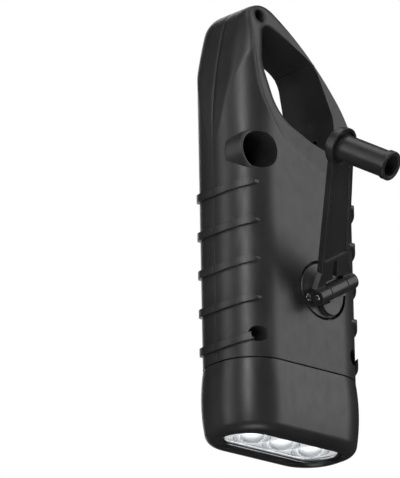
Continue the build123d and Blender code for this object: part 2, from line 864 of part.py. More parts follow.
with BuildPart() as eye_bush:
    with BuildSketch(eye_plane.offset(bush_low)):
        Circle(bush_flange / 2)
    extrude(amount=bush_flange_thickness)
    with BuildSketch(eye_plane.offset(bush_low)):
        Circle(bush_diameter / 2)
    extrude(amount=arm_front - bush_low - 0.5)
    with BuildSketch(eye_plane.offset(bush_low)):
        Circle(grip_diameter / 2 + running_fit)
    extrude(amount=arm_thickness * 3, mode=Mode.SUBTRACT)
eye_bush.part.label = "eye_bush"
export_step(eye_bush.part, "parts/eye_bush.step")

grip_low = bush_low - fit_gap - lip_length

with BuildPart() as crank_grip:
    with BuildSketch(eye_plane.offset(grip_low)):
        Circle(grip_diameter / 2)
    extrude(amount=grip_reach - grip_low)
    with BuildSketch(eye_plane.offset(grip_low)):
        Circle(collar_diameter / 2)
    extrude(amount=lip_length)
    with BuildSketch(eye_plane.offset(grip_reach - collar_length)):
        Circle(collar_diameter / 2)
    extrude(amount=collar_length)
    with BuildSketch(eye_plane.offset(grip_low + 1.6)):
        Circle(grip_diameter / 2 - grip_wall)
    extrude(amount=grip_reach - grip_low, mode=Mode.SUBTRACT)
    ends = crank_grip.edges().filter_by(GeomType.CIRCLE).sort_by(Axis(eye_plane.origin, eye_plane.z_dir))
    fillet(ends[-2:], 0.3)
crank_grip.part.label = "crank_grip"
export_step(crank_grip.part, "parts/crank_grip.step")

# ---------------------------------------------------------------------------
# Gear train and generator
# ---------------------------------------------------------------------------


def gear_sketch(teeth, phase):
    """Spur gear profile: root disc with straight-flanked teeth."""
    pitch = gear_module * teeth / 2
    step = 360 / teeth
    root = pitch - 1.2 * gear_module
    tip = pitch + 0.9 * gear_module
    root_half = 0.95 * gear_module
    tip_half = 0.3 * gear_module
    with BuildSketch() as profile:
        Circle(root)
        for tooth in range(teeth):
            with Locations(Location((0, 0), phase + tooth * step)):
                Polygon(
                    (root - 0.3, -root_half),
                    (tip, -tip_half),
                    (tip, tip_half),
                    (root - 0.3, root_half),
                    align=None,
                )
    return profile.sketch


def gear(x, z, low, width, teeth, phase):
    """Gear with its axis along Y."""
    with BuildPart() as wheel:
        with BuildSketch(axis_y(x, z, low)):
            add(gear_sketch(teeth, phase))
        extrude(amount=width)
    return wheel.part


# Angles are measured in the sketch plane, whose X runs along -X of the part.
idler_line = 180 - idler_turn
rotor_line = 180 - rotor_turn
crank_phase = idler_line
pinion_phase = idler_line + 180 + 180 / pinion_teeth
wheel_phase = rotor_line
rotor_phase = rotor_line + 180 + 180 / pinion_teeth

with BuildPart() as crank_gear:
    add(gear(hub_x, hub_z, crank_gear_y, gear_width, crank_teeth, crank_phase))
    add(disc(hub_x, hub_z, crank_gear_y, outer_plate_y - 0.1, hub_shaft + 3))
    add(disc(hub_x, hub_z, 0, half_depth, hub_shaft + 0.02), mode=Mode.SUBTRACT)
crank_gear.part.label = "crank_gear"
export_step(crank_gear.part, "parts/crank_gear.step")

with BuildPart() as idler_gear:
    add(gear(idler_x, idler_z, wheel_y, gear_width, wheel_teeth, wheel_phase))
    add(gear(idler_x, idler_z, wheel_y, 2 * gear_width + level_gap, pinion_teeth, pinion_phase))
    add(disc(idler_x, idler_z, -half_depth, half_depth, axle_width + 2 * running_fit), mode=Mode.SUBTRACT)
idler_gear.part.label = "idler_gear"
export_step(idler_gear.part, "parts/idler_gear.step")

with BuildPart() as idler_axle:
    add(disc(idler_x, idler_z, inner_plate_y + 0.1, outer_plate_y + plate_thickness - 0.1, axle_width))
idler_axle.part.label = "idler_axle"
export_step(idler_axle.part, "parts/idler_axle.step")

with BuildPart() as generator_rotor:
    add(disc(rotor_x, rotor_z, rotor_y, rotor_y + rotor_width, rotor_diameter))
    add(disc(rotor_x, rotor_z, rotor_y, outer_plate_y + plate_thickness - 0.1, axle_width))
    add(gear(rotor_x, rotor_z, wheel_y, gear_width, pinion_teeth, rotor_phase))
generator_rotor.part.label = "generator_rotor"
export_step(generator_rotor.part, "parts/generator_rotor.step")

with BuildPart() as stator_coil:
    with BuildSketch(axis_y(rotor_x, rotor_z, rotor_y)):
        Circle(stator_diameter / 2)
        Circle(rotor_diameter / 2 + stator_gap, mode=Mode.SUBTRACT)
    extrude(amount=inner_plate_y - seat_gap - rotor_y)
    with BuildSketch(axis_y(rotor_x, rotor_z, rotor_y + 0.9)):
        Circle(stator_diameter / 2 + 1)
        Circle(stator_diameter / 2 - 1.4, mode=Mode.SUBTRACT)
    extrude(amount=inner_plate_y - seat_gap - rotor_y - 1.8, mode=Mode.SUBTRACT)
stator_coil.part.label = "stator_coil"
export_step(stator_coil.part, "parts/stator_coil.step")

with BuildPart() as outer_plate:
    with BuildSketch(axis_y(plate_x, plate_z, outer_plate_y)):
        RectangleRounded(plate_width, plate_height, 3)
    extrude(amount=plate_thickness)
    add(disc(hub_x, hub_z, 0, half_depth, hub_shaft + 2 * running_fit), mode=Mode.SUBTRACT)
    for x, z in ((idler_x, idler_z), (rotor_x, rotor_z)):
        add(disc(x, z, 0, half_depth, axle_width + 2 * running_fit), mode=Mode.SUBTRACT)
outer_plate.part.label = "outer_plate"
export_step(outer_plate.part, "parts/outer_plate.step")

with BuildPart() as inner_plate:
    with BuildSketch(axis_y(plate_x, plate_z, inner_plate_y)):
        RectangleRounded(plate_width, plate_height, 3)
    extrude(amount=plate_thickness)
    for x, z in pillar_spots:
        add(disc(x, z, inner_plate_y, outer_plate_y - 0.05, pillar_width))
    add(disc(hub_x, hub_z, -half_depth, half_depth, hub_shaft + 2 * running_fit), mode=Mode.SUBTRACT)
    for x, z in ((idler_x, idler_z), (rotor_x, rotor_z)):
        add(disc(x, z, -half_depth, half_depth, axle_width + 2 * running_fit), mode=Mode.SUBTRACT)
inner_plate.part.label = "inner_plate"
export_step(inner_plate.part, "parts/inner_plate.step")

# ---------------------------------------------------------------------------
# Battery, board, switch and screws
# ---------------------------------------------------------------------------

board_y = inner_front + seat_gap
board_low = battery_z + cell_diameter / 2 + 1.2

with BuildPart() as battery_pack:
    pack_length = cell_count * cell_length
    with BuildSketch(Plane.YZ.offset(-pack_length / 2)):
        with Locations((battery_y, battery_z)):
            Circle(cell_diameter / 2)
    extrude(amount=pack_length)
    for cell in range(1, cell_count):
        with BuildSketch(Plane.YZ.offset(-pack_length / 2 + cell * cell_length - 0.25)):
            with Locations((battery_y, battery_z)):
                Circle(cell_diameter / 2)
                Circle(cell_diameter / 2 - 0.4, mode=Mode.SUBTRACT)
        extrude(amount=0.5, mode=Mode.SUBTRACT)
battery_pack.part.label = "battery_pack"
export_step(battery_pack.part, "parts/battery_pack.step")

with BuildPart() as main_board:
    with BuildSketch(axis_y(0, (board_low + cavity_top - 3) / 2, board_y)):
        Rectangle(2 * (inner_side - cavity_round + 1.2), cavity_top - 3 - board_low)
    extrude(amount=board_thickness)
    with BuildSketch(axis_y(-8, 66, board_y + board_thickness)):
        Rectangle(7, 5)
    extrude(amount=1.2)
    with BuildSketch(axis_y(11, 48, board_y + board_thickness)):
        Circle(2.5)
    extrude(amount=3)
main_board.part.label = "main_board"
export_step(main_board.part, "parts/main_board.step")

with BuildPart() as power_button:
    with BuildSketch(Plane.YZ.offset(-button_face)):
        with Locations((0, button_z)):
            RectangleRounded(button_width, button_height, 1.6)
    extrude(amount=button_face - inner_side + seat_gap)
    fillet(power_button.faces().sort_by(Axis.X)[0].edges(), 0.4)
    with BuildSketch(Plane.YZ.offset(-inner_side + seat_gap)):
        with Locations((0, button_z)):
            RectangleRounded(button_width + 2 * button_rim, button_height + 2 * button_rim, 1)
    extrude(amount=button_rim_thickness)
power_button.part.label = "power_button"
export_step(power_button.part, "parts/power_button.step")

button_back = inner_side - seat_gap - button_rim_thickness

with BuildPart() as switch_plunger:
    with BuildSketch(Plane.YZ.offset(-button_back + 0.02)):
        with Locations((0, button_z)):
            Circle(plunger_width / 2)
    extrude(amount=button_travel + seat_gap + 0.8)
switch_plunger.part.label = "switch_plunger"
export_step(switch_plunger.part, "parts/switch_plunger.step")

with BuildPart() as switch_body:
    with BuildSketch(Plane.YZ.offset(-switch_face)):
        with Locations((0, button_z)):
            Rectangle(switch_size, switch_size)
    extrude(amount=switch_depth)
    with BuildSketch(Plane.YZ.offset(-switch_face)):
        with Locations((0, button_z)):
            Circle(plunger_width / 2 + running_fit)
    extrude(amount=button_travel + 1.2, mode=Mode.SUBTRACT)
switch_body.part.label = "switch_body"
export_step(switch_body.part, "parts/switch_body.step")

with BuildPart() as case_screws:
    spots = [(x, z, screw_seat, 5.8) for x, z in screw_spots]
    spots.append((crown_spot[0], crown_spot[1], crown_seat, 5.2))
    for x, z, seat, reach in spots:
        add(disc(x, z, seat + 0.02, seat + screw_head_height, screw_head * 0.95))
        add(disc(x, z, -reach, seat + 0.5, screw_shank))
case_screws.part.label = "case_screws"
export_step(case_screws.part, "parts/case_screws.step")
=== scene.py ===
import math

import bmesh
import bpy
from mathutils import Matrix, Vector


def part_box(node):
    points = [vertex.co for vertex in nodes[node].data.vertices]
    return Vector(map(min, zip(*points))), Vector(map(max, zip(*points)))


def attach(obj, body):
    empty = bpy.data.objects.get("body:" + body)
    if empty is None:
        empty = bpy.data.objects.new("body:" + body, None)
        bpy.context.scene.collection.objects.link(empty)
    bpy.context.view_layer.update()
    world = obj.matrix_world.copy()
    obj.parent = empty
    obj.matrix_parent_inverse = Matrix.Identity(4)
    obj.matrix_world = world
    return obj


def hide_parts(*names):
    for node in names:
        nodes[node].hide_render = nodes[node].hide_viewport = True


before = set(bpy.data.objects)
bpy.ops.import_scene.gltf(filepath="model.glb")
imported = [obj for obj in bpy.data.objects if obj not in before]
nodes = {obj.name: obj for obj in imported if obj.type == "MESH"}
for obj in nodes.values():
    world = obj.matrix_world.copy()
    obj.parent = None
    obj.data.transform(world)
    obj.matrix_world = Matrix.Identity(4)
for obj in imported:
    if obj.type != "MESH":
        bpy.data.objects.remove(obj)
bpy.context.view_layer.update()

# Camera: the photograph looks up at the back of the flashlight from below
AZIMUTH = math.radians(138.0)
ELEVATION = math.radians(-18.7)
ROLL = math.radians(-1.1)
DISTANCE = 2.0
FOCAL_LENGTH = 500.0
SENSOR_WIDTH = 36.0
TARGET = Vector((0.0, 0.0, 0.069))
FRAME_RIGHT = 0.02295
FRAME_UP = 0.0025

# Moulded finish: edge radii in metres, and the part of the crown where they grow
GRAIN_SCALE = 2600
EDGE_GLOSS = 0.1
EDGE_SOFTNESS = 0.00025
CROWN_SOFTNESS = 0.0022
CROWN_HEIGHTS = (0.085, 0.112)
CROWN_SIDES = (-0.004, 0.008)

# Hub screws: lengths in metres, the rest as shares of the head's radius or height
HUB_SCREW_RADIUS = 0.0012
RECESS_DEPTH = 0.00045
HEAD_SHARE = 0.45
DOME_DROP = 0.45
CROSS_WIDTH = 0.13
CROSS_REACH = 0.62
CROSS_FLANK = 1.9
CROSS_END = 0.75
SHANK_SHARE = 0.52
SHANK_REACH = 0.95
THREAD_TURNS = 9
THREAD_ROOT = 0.8
SCREW_RINGS = 26
SCREW_SIDES = 72
FIRST_TURN = 0.5
NEXT_TURN = 0.7

# Cup and die in each lamp; the cup's profile is (share of its radius, drop)
CUP_RADIUS = 0.0010
CUP_PROFILE = ((0.6, 0.0), (1.0, -0.0005), (1.08, -0.0005), (0.75, 0.0004), (0.35, 0.0016))
CUP_SIDES = 40
CUP_LEVEL = 0.55
DIE_SIDE = 0.0011
DIE_HEIGHT = 0.00025
DIE_ROUND = 0.3
DIE_SINK = 0.6

# Stop pad on the end of the gate
PAD_THICKNESS = 0.0003
PAD_GAP = 0.00003
PAD_SEARCH = 0.012
FACES_UP = 0.5

# Stage: the floor, and the world as the body and the lamp window see it
FLOOR_LEVEL = -0.0002
FLOOR_HALF = 4.0
DIM_WORLD = 0.05
SKY_LOW, SKY_HIGH = -0.80, -0.25
SKY_LOW_LEVEL, SKY_HIGH_LEVEL = 3.2, 0.8
LAMP_DISTANCE = 0.9
NEAR_DISTANCE = 0.6


# ---------------------------------------------------------------------------
# Materials
# ---------------------------------------------------------------------------


class Surface:
    """A material under construction: one Principled shader and its texture nodes."""

    def __init__(self, name, roughness, metallic=0.0):
        self.material = bpy.data.materials.new(name)
        self.material.use_nodes = True
        self.nodes = self.material.node_tree.nodes
        self.links = self.material.node_tree.links
        self.shader = self.nodes["Principled BSDF"]
        self.shader.inputs["Roughness"].default_value = roughness
        self.shader.inputs["Metallic"].default_value = metallic
        self.place = self.nodes.new("ShaderNodeTexCoord").outputs["Object"]

    def set(self, **values):
        """Constant values on the shader's own sockets."""
        for key, value in values.items():
            self.shader.inputs[key.replace("_", " ")].default_value = value

    def link(self, source, target):
        self.links.new(source, target)

    def feed(self, socket, source):
        self.links.new(source, self.shader.inputs[socket])

    def noise(self, scale, detail=3.0, roughness=0.55, stretch=None):
        """Noise in object metres, with an optional stretch along the axes."""
        place = self.place
        if stretch:
            mapping = self.nodes.new("ShaderNodeMapping")
            mapping.inputs["Scale"].default_value = stretch
            self.link(self.place, mapping.inputs["Vector"])
            place = mapping.outputs["Vector"]
        texture = self.nodes.new("ShaderNodeTexNoise")
        texture.inputs["Scale"].default_value = scale
        texture.inputs["Detail"].default_value = detail
        texture.inputs["Roughness"].default_value = roughness
        self.link(place, texture.inputs["Vector"])
        return texture.outputs["Fac"]

    def stripes(self, scale, axis="X", profile="SIN", distortion=0.0):
        """Parallel bands, scale in bands per metre."""
        texture = self.nodes.new("ShaderNodeTexWave")
        texture.bands_direction = axis
        texture.wave_profile = profile
        texture.inputs["Scale"].default_value = scale * math.pi / 10
        texture.inputs["Distortion"].default_value = distortion
        self.link(self.place, texture.inputs["Vector"])
        return texture.outputs["Fac"]

    def span(self, source, low, high, out_low=0.0, out_high=1.0):
        """Rescales a value, clamped."""
        node = self.nodes.new("ShaderNodeMapRange")
        node.interpolation_type = "SMOOTHSTEP"
        node.inputs["From Min"].default_value = low
        node.inputs["From Max"].default_value = high
        node.inputs["To Min"].default_value = out_low
        node.inputs["To Max"].default_value = out_high
        self.link(source, node.inputs["Value"])
        return node.outputs["Result"]

    def math(self, operation, a, b):
        node = self.nodes.new("ShaderNodeMath")
        node.operation = operation
        for socket, value in zip(node.inputs, (a, b)):
            if isinstance(value, (int, float)):
                socket.default_value = value
            else:
                self.link(value, socket)
        return node.outputs["Value"]

    def blend(self, factor, first, second):
        """Mixes two colours, each a socket or an RGB triple."""
        node = self.nodes.new("ShaderNodeMix")
        node.data_type = "RGBA"
        self.link(factor, node.inputs["Factor"])
        for socket, colour in ((node.inputs[6], first), (node.inputs[7], second)):
            if isinstance(colour, tuple):
                socket.default_value = (*colour, 1.0)
            else:
                self.link(colour, socket)
        return node.outputs[2]

    def edges(self, radius, low=0.02, high=0.3):
        """Mask of the outer and inner edges, from the rounded normal."""
        rounded = self.nodes.new("ShaderNodeBevel")
        rounded.samples = 6
        rounded.inputs["Radius"].default_value = radius
        geometry = self.nodes.new("ShaderNodeNewGeometry")
        dot = self.nodes.new("ShaderNodeVectorMath")
        dot.operation = "DOT_PRODUCT"
        self.link(rounded.outputs["Normal"], dot.inputs[0])
        self.link(geometry.outputs["Normal"], dot.inputs[1])
        return self.span(self.math("SUBTRACT", 1.0, dot.outputs["Value"]), low, high)

    def relief(self, height, strength, distance, soften=EDGE_SOFTNESS, reach=None):
        """Bump from a height value over softened edges; reach is a socket that widens them."""
        bump = self.nodes.new("ShaderNodeBump")
        bump.inputs["Strength"].default_value = strength
        bump.inputs["Distance"].default_value = distance
        self.link(height, bump.inputs["Height"])
        if soften:
            rounded = self.nodes.new("ShaderNodeBevel")
            rounded.samples = 6
            rounded.inputs["Radius"].default_value = soften
            if reach:
                self.link(reach, rounded.inputs["Radius"])
            self.link(rounded.outputs["Normal"], bump.inputs["Normal"])
        self.feed("Normal", bump.outputs["Normal"])


def crown_softness(surface):
    """Edge radius that grows towards the crown, where the moulding flows together."""
    split = surface.nodes.new("ShaderNodeSeparateXYZ")
    surface.link(surface.place, split.inputs["Vector"])
    height = surface.span(split.outputs["Z"], *CROWN_HEIGHTS)
    side = surface.span(split.outputs["X"], *CROWN_SIDES)
    crown = surface.math("MULTIPLY", height, side)
    return surface.span(crown, 0.0, 1.0, EDGE_SOFTNESS, CROWN_SOFTNESS)


def moulded_plastic(name, colour, roughness, grain=0.35, crown=False):
    """Satin moulded plastic: fine spark grain, cloudy tone, rubbed edges and light scuffs."""
    surface = Surface(name, roughness)
    surface.set(Specular_IOR_Level=0.5)
    cloud = surface.noise(55, 4)
    scuff = surface.noise(420, 5, 0.7, stretch=(1.0, 1.0, 0.6))
    worn = surface.math("MULTIPLY", surface.edges(0.0005), surface.span(cloud, 0.35, 0.7))
    pale = tuple(min(1.0, c * 1.35 + 0.004) for c in colour)
    rubbed = tuple(min(1.0, c * 2.1 + 0.012) for c in colour)
    tone = surface.blend(surface.span(cloud, 0.3, 0.7), colour, pale)
    surface.feed("Base Color", surface.blend(worn, tone, rubbed))
    haze = surface.span(scuff, 0.35, 0.75, roughness - 0.03, roughness + 0.05)
    gloss = surface.math("MULTIPLY", worn, EDGE_GLOSS)
    surface.feed("Roughness", surface.math("SUBTRACT", haze, gloss))
    reach = crown_softness(surface) if crown else None
    surface.relief(surface.noise(GRAIN_SCALE, 2), grain, 0.00006, reach=reach)
    return surface.material


def bright_metal(name, colour, roughness, brushed=0.25, stretch=(1.0, 1.0, 1.0)):
    """Plated or turned metal with a brushed grain and a cloudy, duller tone in patches."""
    surface = Surface(name, roughness, 1.0)
    grain = surface.noise(1800, 4, 0.6, stretch=stretch)
    cloud = surface.noise(160, 3)
    dull = tuple(c * 0.72 for c in colour)
    tone = surface.blend(surface.span(cloud, 0.3, 0.75), colour, dull)
    surface.feed("Base Color", tone)
    surface.feed("Roughness", surface.span(grain, 0.25, 0.8, roughness * 0.7, roughness * 1.35))
    surface.relief(grain, brushed, 0.00002, 0.00012)
    return surface.material


def clear_window():
    """Clear window, which lets light through to the reflector."""
    surface = Surface("clear_window", 0.02)
    surface.set(Transmission_Weight=1.0, IOR=1.30, Specular_IOR_Level=0.5)
    haze = surface.noise(700, 4)
    surface.feed("Base Color", surface.blend(haze, (0.97, 0.985, 0.99), (0.93, 0.95, 0.96)))
    surface.feed("Roughness", surface.span(haze, 0.3, 0.8, 0.01, 0.05))
    surface.relief(surface.noise(90, 2), 0.04, 0.0001, 0.00015)
    pass_through(surface)
    return surface.material


def pass_through(surface):
    """Lets shadow rays through a clear body."""
    clear = surface.nodes.new("ShaderNodeBsdfTransparent")
    mix = surface.nodes.new("ShaderNodeMixShader")
    rays = surface.nodes.new("ShaderNodeLightPath")
    surface.link(rays.outputs["Is Shadow Ray"], mix.inputs["Fac"])
    surface.link(surface.shader.outputs["BSDF"], mix.inputs[1])
    surface.link(clear.outputs["BSDF"], mix.inputs[2])
    surface.link(mix.outputs["Shader"], surface.nodes["Material Output"].inputs["Surface"])


def mirror_coat():
    """Vacuum-plated reflector with a faint orange peel."""
    surface = Surface("reflector_coat", 0.07, 1.0)
    peel = surface.noise(900, 2)
    surface.feed("Base Color", surface.blend(peel, (0.93, 0.93, 0.94), (0.86, 0.87, 0.89)))
    surface.feed("Roughness", surface.span(peel, 0.3, 0.7, 0.05, 0.1))
    surface.relief(surface.noise(1500, 2), 0.12, 0.00003, 0.0001)
    return surface.material


def led_epoxy():
    """Clear epoxy dome of a lamp."""
    surface = Surface("led_epoxy", 0.04)
    surface.set(Transmission_Weight=1.0, IOR=1.5)
    haze = surface.noise(1200, 3)
    surface.feed("Base Color", surface.blend(haze, (0.98, 0.98, 0.97), (0.93, 0.94, 0.93)))
    surface.feed("Roughness", surface.span(haze, 0.3, 0.8, 0.02, 0.07))
    surface.relief(haze, 0.05, 0.00002, 0.0001)
    pass_through(surface)
    return surface.material


def phosphor():
    """Powdery yellow phosphor on a lamp's die."""
    surface = Surface("phosphor", 0.6)
    grain = surface.noise(9000, 4)
    surface.feed("Base Color", surface.blend(grain, (0.86, 0.70, 0.16), (0.95, 0.84, 0.36)))
    surface.relief(grain, 0.4, 0.00002, 0.00005)
    return surface.material


def solar_glass():
    """Dark cell under clear resin: thin fingers across it and darker cell gaps."""
    surface = Surface("solar_cell", 0.3)
    surface.set(Coat_Weight=1.0, Coat_Roughness=0.06, Coat_IOR=1.5)
    crystal = surface.noise(260, 5, 0.65)
    depth = surface.span(crystal, 0.3, 0.75)
    cell = surface.blend(depth, (0.010, 0.008, 0.012), (0.020, 0.014, 0.018))
    fingers = surface.span(surface.stripes(620, "Z"), 0.94, 1.0, 0.0, 0.35)
    lined = surface.blend(fingers, cell, (0.07, 0.062, 0.06))
    gaps = surface.span(surface.stripes(170, "X"), 0.985, 1.0, 0.0, 0.8)
    surface.feed("Base Color", surface.blend(gaps, lined, (0.003, 0.003, 0.004)))
    surface.feed("Roughness", surface.span(crystal, 0.3, 0.7, 0.22, 0.36))
    surface.relief(surface.noise(1200, 2), 0.06, 0.00003, 0.0001)
    return surface.material


def circuit_board():
    """Green solder mask with faint tracks and pale pads."""
    surface = Surface("solder_mask", 0.34)
    along = surface.stripes(260, "X", "TRI", 3.0)
    across = surface.stripes(230, "Z", "TRI", 4.0)
    tracks = surface.math("MAXIMUM", along, across)
    cells = surface.nodes.new("ShaderNodeTexVoronoi")
    cells.inputs["Scale"].default_value = 330
    surface.link(surface.place, cells.inputs["Vector"])
    pads = surface.span(cells.outputs["Distance"], 0.12, 0.2, 1.0, 0.0)
    mask = surface.blend(surface.span(tracks, 0.78, 0.9), (0.012, 0.075, 0.03), (0.03, 0.15, 0.06))
    surface.feed("Base Color", surface.blend(pads, mask, (0.55, 0.53, 0.48)))
    surface.feed("Roughness", surface.span(pads, 0.0, 1.0, 0.36, 0.22))
    surface.relief(tracks, 0.3, 0.00004)
    return surface.material


def cell_sleeve():
    """Shrink sleeve round the cells, drawn in between them."""
    surface = Surface("cell_sleeve", 0.36)
    wrinkle = surface.noise(240, 4, 0.6, stretch=(0.3, 1.0, 1.0))
    surface.feed("Base Color", surface.blend(wrinkle, (0.02, 0.13, 0.11), (0.03, 0.19, 0.15)))
    surface.feed("Roughness", surface.span(wrinkle, 0.3, 0.7, 0.3, 0.44))
    surface.relief(surface.math("ADD", wrinkle, surface.stripes(190, "X")), 0.35, 0.0001)
    return surface.material


def gear_nylon():
    """Natural gear plastic, slightly translucent, with a sheen of grease."""
    surface = Surface("gear_nylon", 0.38)
    surface.set(Subsurface_Weight=0.15, Subsurface_Scale=0.002)
    cloud = surface.noise(300, 4)
    surface.feed("Base Color", surface.blend(cloud, (0.74, 0.70, 0.58), (0.80, 0.78, 0.68)))
    grease = surface.noise(140, 3)
    surface.feed("Roughness", surface.span(grease, 0.4, 0.7, 0.44, 0.16))
    surface.relief(surface.noise(1500, 2), 0.15, 0.00004, 0.0001)
    return surface.material


def wound_copper():
    """Enamelled copper turns on the bobbin, with painted shade between the turns and a painted
    highlight on each.
    """
    surface = Surface("wound_copper", 0.3, 1.0)
    turns = surface.stripes(5200, "Y")
    # Colour bands along the turns: painted shade (dark brown) between the turns and a painted
    # highlight (bright copper) on each; the same bands also give the turns' ridges.
    surface.feed("Base Color", surface.blend(turns, (0.36, 0.12, 0.05), (0.78, 0.34, 0.16)))
    surface.feed("Roughness", surface.span(surface.noise(600), 0.3, 0.7, 0.24, 0.4))
    surface.relief(turns, 0.6, 0.00008, 0)
    return surface.material


def sintered_magnet():
    """Dark sintered magnet with chalky edges."""
    surface = Surface("sintered_magnet", 0.55, 0.35)
    grit = surface.noise(2600, 5, 0.7)
    base = surface.blend(surface.span(grit, 0.3, 0.8), (0.045, 0.044, 0.046), (0.09, 0.088, 0.09))
    surface.feed("Base Color", surface.blend(surface.edges(0.0004), base, (0.2, 0.2, 0.2)))
    surface.feed("Roughness", surface.span(grit, 0.3, 0.8, 0.45, 0.7))
    surface.relief(grit, 0.4, 0.00005)
    return surface.material


def dress(material, *names):
    """Puts a material on the carried CAD nodes."""
    for name in names:
        for place in nodes[name].material_slots:
            place.material = material


shell_black = moulded_plastic("shell_black", (0.016, 0.016, 0.0165), 0.40, crown=True)
head_black = moulded_plastic("head_black", (0.015, 0.015, 0.0155), 0.37, grain=0.25)
crank_black = moulded_plastic("crank_black", (0.012, 0.012, 0.0125), 0.34, grain=0.2)
bezel_black = moulded_plastic("bezel_black", (0.018, 0.018, 0.0185), 0.36, grain=0.2)
button_rubber = moulded_plastic("button_rubber", (0.022, 0.022, 0.022), 0.62, grain=0.5)
switch_plastic = moulded_plastic("switch_plastic", (0.10, 0.10, 0.11), 0.45)
plated_steel = bright_metal("plated_steel", (0.62, 0.62, 0.60), 0.30)
spring_wire = bright_metal("spring_wire", (0.50, 0.50, 0.50), 0.26, stretch=(0.4, 0.4, 3.0))
board_green = circuit_board()
nylon = gear_nylon()

dress(shell_black, "front_shell", "back_shell", "carabiner_gate")
dress(head_black, "lamp_head")
dress(crank_black, "crank_hub", "crank_arm", "eye_bush", "crank_grip")
dress(bezel_black, "solar_bezel")
dress(button_rubber, "power_button")
dress(switch_plastic, "switch_body", "switch_plunger")
dress(plated_steel, "gate_pin", "hinge_pin", "idler_axle", "outer_plate", "inner_plate")
# Case screws: steel coloured nearly black, as painted shade at the bottom of their deep holes.
dress(bright_metal("steel_darkened_as_hole_shade", (0.06, 0.06, 0.062), 0.42), "case_screws")
dress(spring_wire, "gate_spring")
dress(clear_window(), "lens")
dress(mirror_coat(), "reflector")
dress(led_epoxy(), "led_left", "led_centre", "led_right")
dress(solar_glass(), "solar_panel")
dress(board_green, "main_board", "led_board")
dress(cell_sleeve(), "battery_pack")
dress(nylon, "crank_gear", "idler_gear")
dress(wound_copper(), "stator_coil")
dress(sintered_magnet(), "generator_rotor")


# ---------------------------------------------------------------------------
# Small pieces in mesh code
# ---------------------------------------------------------------------------


def new_piece(name, mesh, body, material):
    """Puts a finished bmesh into the scene as a piece that rides on a body."""
    data = bpy.data.meshes.new(name)
    mesh.to_mesh(data)
    mesh.free()
    piece = bpy.data.objects.new(name, data)
    bpy.context.scene.collection.objects.link(piece)
    data.materials.append(material)
    for face in data.polygons:
        face.use_smooth = True
    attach(piece, body)
    return piece


def step(value, low, high):
    """Smooth step from 1 below low to 0 above high."""
    t = min(1.0, max(0.0, (value - low) / (high - low)))
    return 1.0 - t * t * (3.0 - 2.0 * t)


def around(sides):
    """Angles of the sides of a ring."""
    return [2 * math.pi * side / sides for side in range(sides)]


def bridge(mesh, rows):
    """Faces between neighbouring rings of vertices."""
    for upper, lower in zip(rows, rows[1:]):
        for side in range(len(upper)):
            after = (side + 1) % len(upper)
            mesh.faces.new((upper[side], upper[after], lower[after], lower[side]))


def head_height(x, z, radius, rise):
    """Domed screw head with a cross recess, as a height over the seat."""
    dome = rise * (1.0 - DOME_DROP * (x * x + z * z) / radius**2)
    arm, reach = CROSS_WIDTH * radius, CROSS_REACH * radius
    bars = max(
        step(abs(x), arm, CROSS_FLANK * arm) * step(abs(z), CROSS_END * reach, reach),
        step(abs(z), arm, CROSS_FLANK * arm) * step(abs(x), CROSS_END * reach, reach),
    )
    return dome - RECESS_DEPTH * bars


def add_screw(mesh, centre, radius, rise, length, turn):
    """Screw along Y: head with a cross recess, then a threaded shank into the seat."""
    rows = []
    for ring in range(1, SCREW_RINGS + 1):
        reach = radius * ring / SCREW_RINGS
        row = []
        for angle in around(SCREW_SIDES):
            x, z = reach * math.cos(angle), reach * math.sin(angle)
            u = x * math.cos(turn) + z * math.sin(turn)
            v = z * math.cos(turn) - x * math.sin(turn)
            row.append(mesh.verts.new(centre + Vector((x, head_height(u, v, radius, rise), z))))
        rows.append(row)
    shank = SHANK_SHARE * radius
    profile = [(radius, 0.0), (shank, 0.0)]
    for half_turn in range(2 * THREAD_TURNS):
        reach = shank if half_turn % 2 else THREAD_ROOT * shank
        profile.append((reach, -length * (half_turn + 1) / (2 * THREAD_TURNS)))
    for reach, drop in profile:
        row = []
        for angle in around(SCREW_SIDES):
            offset = Vector((reach * math.cos(angle), drop, reach * math.sin(angle)))
            row.append(mesh.verts.new(centre + offset))
        rows.append(row)
    top = mesh.verts.new(centre + Vector((0, head_height(0, 0, radius, rise), 0)))
    for side in range(SCREW_SIDES):
        mesh.faces.new((top, rows[0][(side + 1) % SCREW_SIDES], rows[0][side]))
    bridge(mesh, rows)
    mesh.faces.new(reversed(rows[-1]))


def hub_screw_heads():
    """Two small bright screws on the crank hub."""
    low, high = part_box("hub_screws")
    radius = HUB_SCREW_RADIUS
    rise = HEAD_SHARE * (high.y - low.y)
    seat = high.y - rise
    length = SHANK_REACH * (seat - low.y)
    mesh = bmesh.new()
    spots = ((low.x + radius, high.z - radius), (high.x - radius, low.z + radius))
    for index, (x, z) in enumerate(spots):
        turn = FIRST_TURN + NEXT_TURN * index
        add_screw(mesh, Vector((x, seat, z)), radius, rise, length, turn)
    piece = new_piece("hub_screw_heads", mesh, "crank", plated_steel)
    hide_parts("hub_screws")


def lamp_cup(name, place, metal):
    """Turned cup on its stem, inside a clear lamp."""
    mesh = bmesh.new()
    rows = []
    for share, drop in CUP_PROFILE:
        reach = share * CUP_RADIUS
        row = []
        for angle in around(CUP_SIDES):
            offset = Vector((reach * math.cos(angle), reach * math.sin(angle), drop))
            row.append(mesh.verts.new(place + offset))
        rows.append(row)
    bridge(mesh, rows)
    mesh.faces.new(rows[0])
    mesh.faces.new(reversed(rows[-1]))
    new_piece(name, mesh, "housing", metal)


